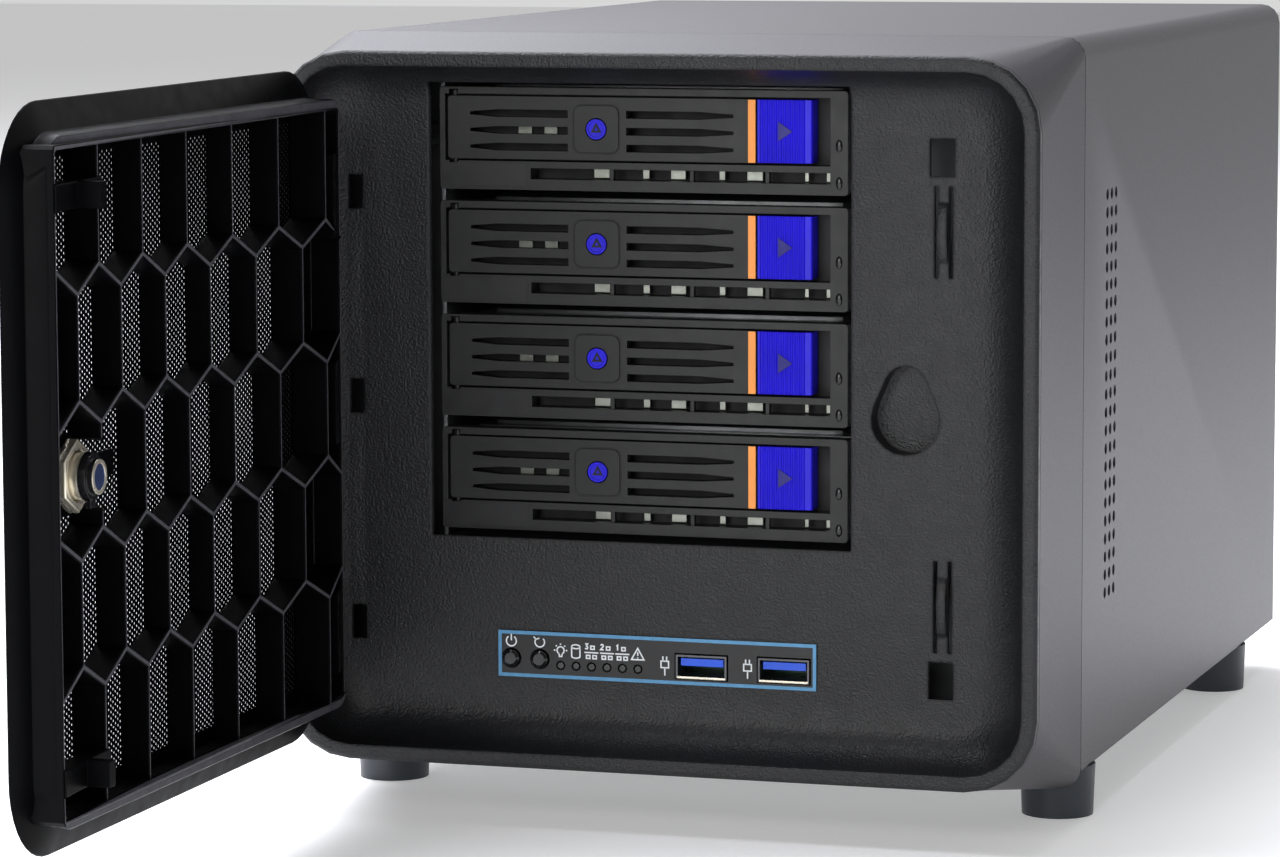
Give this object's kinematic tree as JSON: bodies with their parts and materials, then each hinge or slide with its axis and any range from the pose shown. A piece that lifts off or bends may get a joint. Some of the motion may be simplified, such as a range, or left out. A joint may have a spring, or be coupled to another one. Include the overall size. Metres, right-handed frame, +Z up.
{
  "type": "network attached storage",
  "caption": "Desktop storage box with a hinged honeycomb front door standing open, sliding drive trays with latch levers, a control strip with data sockets, rear fan and round rubber feet.",
  "frame": {"origin": "centre of the base plate's underside; the feet reach below it", "axes": "+Z up, -Y towards the front, +X to the right seen from the front; the door is stored open at a right angle"},
  "size_m": [0.2016, 0.4989, 0.1999],
  "materials": {
    "grey_paint": "fine textured satin paint",
    "bezel_black": "fine spark-eroded texture",
    "tray_black": "satin moulded",
    "release_blue": "satin ribbed",
    "connector_blue": "smooth",
    "gloss_black": "polished",
    "slate_rubber": "matte",
    "sheet_steel": "galvanised",
    "nickel": "bright plated",
    "perforated_steel": "satin black",
    "circuit_board": "solder mask",
    "label_print": "printed film",
    "light_guide": "translucent",
    "drive_metal": "cast and stamped"
  },
  "bodies": {
    "chassis": {"base_plate": "grey_paint", "outer_cover": "grey_paint", "bezel_ring": "grey_paint", "front_bezel": "bezel_black", "rear_fan_frame": "bezel_black", "usb_tongue_1": "connector_blue", "usb_tongue_2": "connector_blue", "power_inlet": "gloss_black", "foot_front_left": "slate_rubber", "foot_front_right": "slate_rubber", "foot_rear_left": "slate_rubber", "foot_rear_right": "slate_rubber", "front_sheet": "sheet_steel", "rear_panel": "sheet_steel", "drive_cage": "sheet_steel", "cage_shelf": "sheet_steel", "power_supply": "sheet_steel", "usb_shell_1": "sheet_steel", "usb_shell_2": "sheet_steel", "thumb_screw_lower_left": "sheet_steel", "thumb_screw_lower_right": "sheet_steel", "thumb_screw_upper_left": "sheet_steel", "thumb_screw_upper_right": "sheet_steel", "io_shield": "nickel", "backplane": "circuit_board", "motherboard": "circuit_board", "memory_module": "circuit_board", "front_io_board": "circuit_board", "control_label": "label_print", "status_light_guide": "light_guide", "cpu_heatsink": "drive_metal"},
    "door": {"door_frame": "bezel_black", "door_mesh": "perforated_steel", "lock_barrel": "nickel", "lock_nut": "nickel"},
    "door_lock": {"lock_plug": "gloss_black"},
    "tray_1": {"tray_frame_1": "tray_black", "hard_drive_1": "drive_metal"},
    "lever_1": {"latch_lever_1": "tray_black"},
    "dial_1": {"lock_dial_1": "release_blue"},
    "release_1": {"release_button_1": "release_blue"},
    "tray_2": {"tray_frame_2": "tray_black", "hard_drive_2": "drive_metal"},
    "lever_2": {"latch_lever_2": "tray_black"},
    "dial_2": {"lock_dial_2": "release_blue"},
    "release_2": {"release_button_2": "release_blue"},
    "tray_3": {"tray_frame_3": "tray_black", "hard_drive_3": "drive_metal"},
    "lever_3": {"latch_lever_3": "tray_black"},
    "dial_3": {"lock_dial_3": "release_blue"},
    "release_3": {"release_button_3": "release_blue"},
    "tray_4": {"tray_frame_4": "tray_black", "hard_drive_4": "drive_metal"},
    "lever_4": {"latch_lever_4": "tray_black"},
    "dial_4": {"lock_dial_4": "release_blue"},
    "release_4": {"release_button_4": "release_blue"},
    "power_button": {"power_button": "gloss_black"},
    "reset_button": {"reset_button": "gloss_black"},
    "fan_rotor": {"rear_fan_rotor": "bezel_black"}
  },
  "joints": [
    {"name": "door_hinge", "type": "hinge", "parent": "chassis", "child": "door", "pos_m": [-0.09045, -0.17615, 0.0932], "axis": [0, 0, -1], "range_deg": [-90, 8]},
    {"name": "lock_turn", "type": "hinge", "parent": "door", "child": "door_lock", "pos_m": [-0.0846, -0.3301, 0.0932], "axis": [1, 0, 0], "range_deg": [0, 180]},
    {"name": "tray_slide_1", "type": "slide", "parent": "chassis", "child": "tray_1", "axis": [0, -1, 0], "range_m": [0, 0.165]},
    {"name": "lever_hinge_1", "type": "hinge", "parent": "tray_1", "child": "lever_1", "pos_m": [-0.0582, -0.1573, 0.1632], "axis": [0, 0, -1], "range_deg": [0, 60]},
    {"name": "dial_turn_1", "type": "hinge", "parent": "lever_1", "child": "dial_1", "pos_m": [-0.0199, -0.159, 0.1631], "axis": [0, 1, 0], "range_deg": [0, 90]},
    {"name": "release_press_1", "type": "slide", "parent": "tray_1", "child": "release_1", "axis": [1, 0, 0], "range_m": [0, 0.003], "stiffness_N_per_m": 200, "springref_m": -0.001},
    {"name": "tray_slide_2", "type": "slide", "parent": "chassis", "child": "tray_2", "axis": [0, -1, 0], "range_m": [0, 0.165]},
    {"name": "lever_hinge_2", "type": "hinge", "parent": "tray_2", "child": "lever_2", "pos_m": [-0.0582, -0.1573, 0.1341], "axis": [0, 0, -1], "range_deg": [0, 60]},
    {"name": "dial_turn_2", "type": "hinge", "parent": "lever_2", "child": "dial_2", "pos_m": [-0.0199, -0.159, 0.134], "axis": [0, 1, 0], "range_deg": [0, 90]},
    {"name": "release_press_2", "type": "slide", "parent": "tray_2", "child": "release_2", "axis": [1, 0, 0], "range_m": [0, 0.003], "stiffness_N_per_m": 200, "springref_m": -0.001},
    {"name": "tray_slide_3", "type": "slide", "parent": "chassis", "child": "tray_3", "axis": [0, -1, 0], "range_m": [0, 0.165]},
    {"name": "lever_hinge_3", "type": "hinge", "parent": "tray_3", "child": "lever_3", "pos_m": [-0.0582, -0.1573, 0.105], "axis": [0, 0, -1], "range_deg": [0, 60]},
    {"name": "dial_turn_3", "type": "hinge", "parent": "lever_3", "child": "dial_3", "pos_m": [-0.0199, -0.159, 0.1049], "axis": [0, 1, 0], "range_deg": [0, 90]},
    {"name": "release_press_3", "type": "slide", "parent": "tray_3", "child": "release_3", "axis": [1, 0, 0], "range_m": [0, 0.003], "stiffness_N_per_m": 200, "springref_m": -0.001},
    {"name": "tray_slide_4", "type": "slide", "parent": "chassis", "child": "tray_4", "axis": [0, -1, 0], "range_m": [0, 0.165]},
    {"name": "lever_hinge_4", "type": "hinge", "parent": "tray_4", "child": "lever_4", "pos_m": [-0.0582, -0.1573, 0.0759], "axis": [0, 0, -1], "range_deg": [0, 60]},
    {"name": "dial_turn_4", "type": "hinge", "parent": "lever_4", "child": "dial_4", "pos_m": [-0.0199, -0.159, 0.0758], "axis": [0, 1, 0], "range_deg": [0, 90]},
    {"name": "release_press_4", "type": "slide", "parent": "tray_4", "child": "release_4", "axis": [1, 0, 0], "range_m": [0, 0.003], "stiffness_N_per_m": 200, "springref_m": -0.001},
    {"name": "power_press", "type": "slide", "parent": "chassis", "child": "power_button", "axis": [0, 1, 0], "range_m": [0, 0.001], "stiffness_N_per_m": 300, "springref_m": -0.0005},
    {"name": "reset_press", "type": "slide", "parent": "chassis", "child": "reset_button", "axis": [0, 1, 0], "range_m": [0, 0.001], "stiffness_N_per_m": 300, "springref_m": -0.0005},
    {"name": "fan_spin", "type": "hinge", "parent": "chassis", "child": "fan_rotor", "pos_m": [-0.036, 0.1158, 0.121], "axis": [0, 1, 0], "continuous": true}
  ]
}
